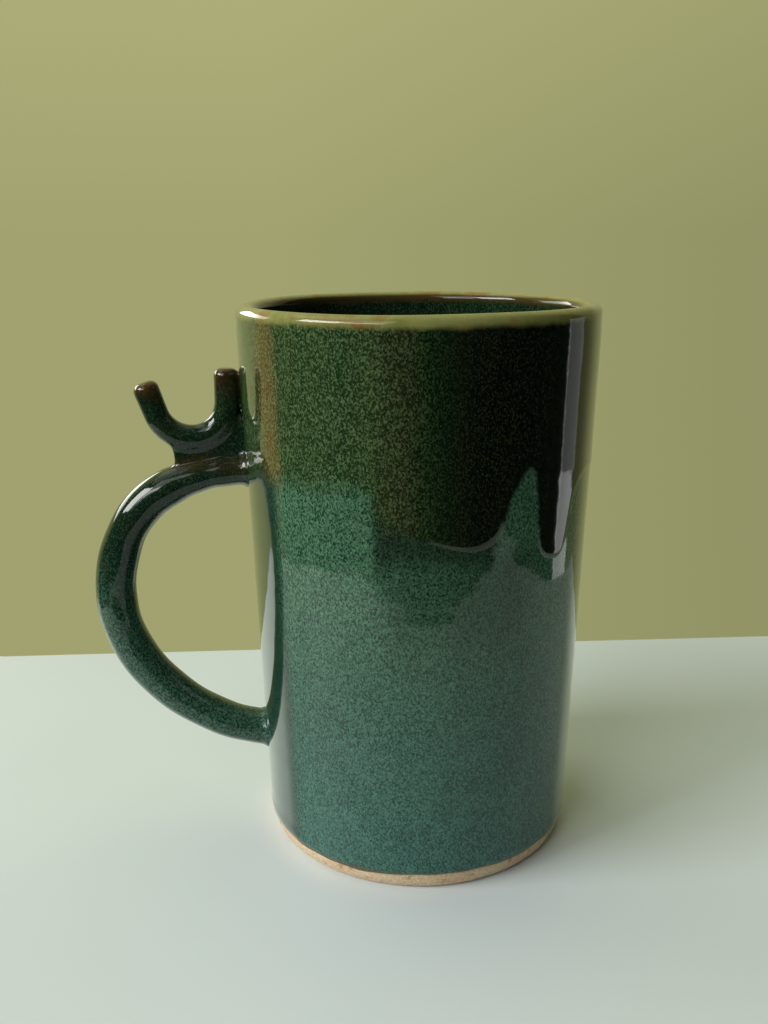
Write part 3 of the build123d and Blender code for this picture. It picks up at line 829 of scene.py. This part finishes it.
def card(name, az_deg, el_deg, dist, width, height, radiance, colour=(1, 1, 1), aim=(0, 0, 0.07), spread=180):
    """A rectangular soft light seen from the mug at that bearing: 0 is the front, growing to the right."""
    a, e = math.radians(az_deg), math.radians(el_deg)
    p = Vector((math.sin(a) * math.cos(e), -math.cos(a) * math.cos(e), math.sin(e))) * dist + Vector(aim)
    d = bpy.data.lights.new(name, "AREA")
    d.shape = "RECTANGLE"; d.size = width; d.size_y = height
    d.energy = radiance * math.pi * width * height
    d.color = colour
    d.spread = math.radians(spread)
    ob = bpy.data.objects.new(name, d)
    bpy.context.scene.collection.objects.link(ob)
    ob.location = p
    ob.rotation_mode = "QUATERNION"
    ob.rotation_quaternion = (p - Vector(aim)).to_track_quat("Z", "Y")
    return ob


card("window_key", -74, 31, 6.0, 3.0, 1.9, 14.0, (1.0, 0.99, 0.97))
card("window_left_front", -42, 38, 5.0, 2.3, 3.1, 1.7, (1.0, 0.99, 0.97))
card("window_bright_pane", -42, 29, 5.0, 1.9, 0.7, 6.0, (1.0, 0.99, 0.97))
card("window_left_back", -135, 16, 5.0, 3.6, 1.4, 4.0, (1.0, 0.99, 0.97))
card("skylight", -110, 60, 5.0, 4.3, 2.0, 0.75, (1.0, 1.0, 0.98))
card("fill_right", 60, 75, 5.0, 3.3, 3.3, 0.25, (1.0, 1.0, 0.98))
card("window_right", 103.0, -4, 1.6, 0.45, 0.56, 0.52, (0.97, 1.0, 0.93))
card("window_right_low", 102.0, -20.5, 1.6, 0.40, 0.36, 1.6, (0.97, 1.0, 0.96))
card("window_right_edge", 95.5, -8, 1.6, 0.015, 0.7, 1.8, (0.95, 0.98, 1.0))

cam_data = bpy.data.cameras.new("camera")
cam_data.sensor_width = 36.0
cam_data.lens = 34.9
cam_data.clip_start, cam_data.clip_end = 0.01, 50
cam = bpy.data.objects.new("camera", cam_data)
bpy.context.scene.collection.objects.link(cam)
pos = Vector((-0.03239, -0.23044, 0.14519))
pitch, yaw, roll = math.radians(15.745), math.radians(6.006), math.radians(0.39)
fwd = Vector((math.sin(yaw) * math.cos(pitch), math.cos(yaw) * math.cos(pitch), -math.sin(pitch)))
q = fwd.to_track_quat("-Z", "Y")
cam.location = pos
cam.rotation_mode = "QUATERNION"
from mathutils import Quaternion
cam.rotation_quaternion = q @ Quaternion((0, 0, 1), -roll)
bpy.context.scene.camera = cam
bpy.context.scene.view_settings.view_transform = "Standard"
bpy.context.scene.view_settings.look = "None"
